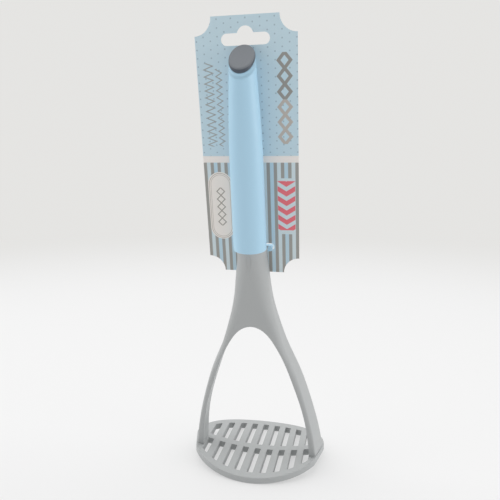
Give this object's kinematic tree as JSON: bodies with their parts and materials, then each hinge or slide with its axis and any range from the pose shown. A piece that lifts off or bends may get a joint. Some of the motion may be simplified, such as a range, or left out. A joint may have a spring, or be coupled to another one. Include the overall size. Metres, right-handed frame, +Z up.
{
  "type": "potato masher",
  "caption": "Hand potato masher: bowed slotted nylon head on wishbone legs, leaning oval sleeve handle with slanted end cap, carried on a notched hang card.",
  "frame": {"origin": "under the middle of the bowed plate, where it meets the table", "axes": "+Z up, X from leg to leg, -Y the front, towards which the handle leans"},
  "size_m": [0.087, 0.0936, 0.2671],
  "materials": {
    "nylon": "satin",
    "handle": "satin",
    "cap": "satin",
    "card": "satin"
  },
  "bodies": {
    "masher": {"mashing_plate": "nylon", "wishbone": "nylon", "handle_sleeve": "handle", "end_cap": "cap"},
    "card": {"hang_card": "card"}
  },
  "joints": [
    {"name": "card_lift", "type": "slide", "parent": "masher", "child": "card", "axis": [0, 0.9781, 0.2079], "range_m": [0, 0.03]}
  ]
}
